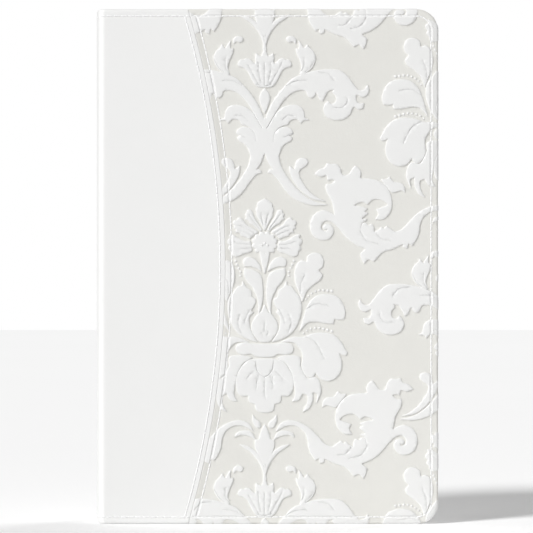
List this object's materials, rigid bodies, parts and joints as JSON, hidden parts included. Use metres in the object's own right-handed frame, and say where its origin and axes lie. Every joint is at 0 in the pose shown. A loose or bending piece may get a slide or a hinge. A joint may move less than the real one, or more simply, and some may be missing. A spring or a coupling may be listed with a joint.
{
  "type": "bound book with a flexible case",
  "caption": "Thick sewn book in a flexible two-tone white imitation-leather case, with a damask panel, a curved stitched seam and rounded fore-edge corners.",
  "frame": {"origin": "centre of the closed book's footprint, on the surface that it stands on", "axes": "+Z from tail to head, +X from the spine to the fore edge, the front cover faces -Y"},
  "size_m": [0.1524, 0.0372, 0.2286],
  "materials": {
    "smooth_leather": "matte embossed polyurethane imitation leather",
    "damask_leather": "damask embossed polyurethane imitation leather, pearl ground",
    "stitching": "bonded polyester thread",
    "board_card": "flexible binder's card",
    "infill_card": "thin infill card",
    "mull_cloth": "open-weave cotton mull",
    "endpaper": "uncoated endpaper",
    "page_paper": "thin paper with silver edges",
    "lining_card": "kraft spine lining",
    "glue": "dried binding glue",
    "sewing_thread": "linen sewing thread",
    "band_cloth": "striped white headband cloth",
    "ribbon": "satin ribbon"
  },
  "bodies": {
    "back_block": {"signature_13": "page_paper", "signature_14": "page_paper", "signature_15": "page_paper", "signature_16": "page_paper", "signature_17": "page_paper", "signature_18": "page_paper", "signature_19": "page_paper", "signature_20": "page_paper", "signature_21": "page_paper", "signature_22": "page_paper", "signature_23": "page_paper", "signature_24": "page_paper", "spine_skin_back_half": "smooth_leather", "spine_thread_back_half": "stitching", "spine_lining_back_half": "lining_card", "spine_glue_back_half": "glue", "sewing_thread_back_half": "sewing_thread", "headband_back_half": "band_cloth", "tailband_back_half": "band_cloth", "ribbon_marker": "ribbon"},
    "front_block": {"signature_01": "page_paper", "signature_02": "page_paper", "signature_03": "page_paper", "signature_04": "page_paper", "signature_05": "page_paper", "signature_06": "page_paper", "signature_07": "page_paper", "signature_08": "page_paper", "signature_09": "page_paper", "signature_10": "page_paper", "signature_11": "page_paper", "signature_12": "page_paper", "spine_skin_front_half": "smooth_leather", "spine_thread_front_half": "stitching", "spine_lining_front_half": "lining_card", "spine_glue_front_half": "glue", "sewing_thread_front_half": "sewing_thread", "headband_front_half": "band_cloth", "tailband_front_half": "band_cloth"},
    "front_cover": {"front_smooth_panel": "smooth_leather", "front_damask_panel": "damask_leather", "front_board": "board_card", "front_infill": "infill_card", "front_mull_flap": "mull_cloth", "front_pastedown": "endpaper", "front_edge_thread": "stitching", "front_seam_threads": "stitching"},
    "front_flyleaf": {"front_flyleaf": "endpaper"},
    "back_cover": {"back_smooth_panel": "smooth_leather", "back_damask_panel": "damask_leather", "back_board": "board_card", "back_infill": "infill_card", "back_mull_flap": "mull_cloth", "back_pastedown": "endpaper", "back_edge_thread": "stitching", "back_seam_threads": "stitching"},
    "back_flyleaf": {"back_flyleaf": "endpaper"}
  },
  "joints": [
    {"name": "middle_opening", "type": "hinge", "parent": "back_block", "child": "front_block", "pos_m": [-0.07625, 0, 0.1143], "axis": [0, 0, 1], "range_deg": [-178, 0]},
    {"name": "front_cover_hinge", "type": "hinge", "parent": "front_block", "child": "front_cover", "pos_m": [-0.0692, -0.01866, 0.1143], "axis": [0, 0, -1], "range_deg": [0, 92]},
    {"name": "front_flyleaf_turn", "type": "hinge", "parent": "front_block", "child": "front_flyleaf", "pos_m": [-0.0692, -0.01866, 0.1143], "axis": [0, 0, -1], "range_deg": [0, 78.5]},
    {"name": "back_cover_hinge", "type": "hinge", "parent": "back_block", "child": "back_cover", "pos_m": [-0.0692, 0.01866, 0.1143], "axis": [0, 0, 1], "range_deg": [0, 92]},
    {"name": "back_flyleaf_turn", "type": "hinge", "parent": "back_block", "child": "back_flyleaf", "pos_m": [-0.0692, 0.01866, 0.1143], "axis": [0, 0, 1], "range_deg": [0, 78.5]}
  ],
  "couplings": [
    {"joint": "front_flyleaf_turn", "follows": "front_cover_hinge", "ratio": 0.85},
    {"joint": "back_flyleaf_turn", "follows": "back_cover_hinge", "ratio": 0.85}
  ]
}
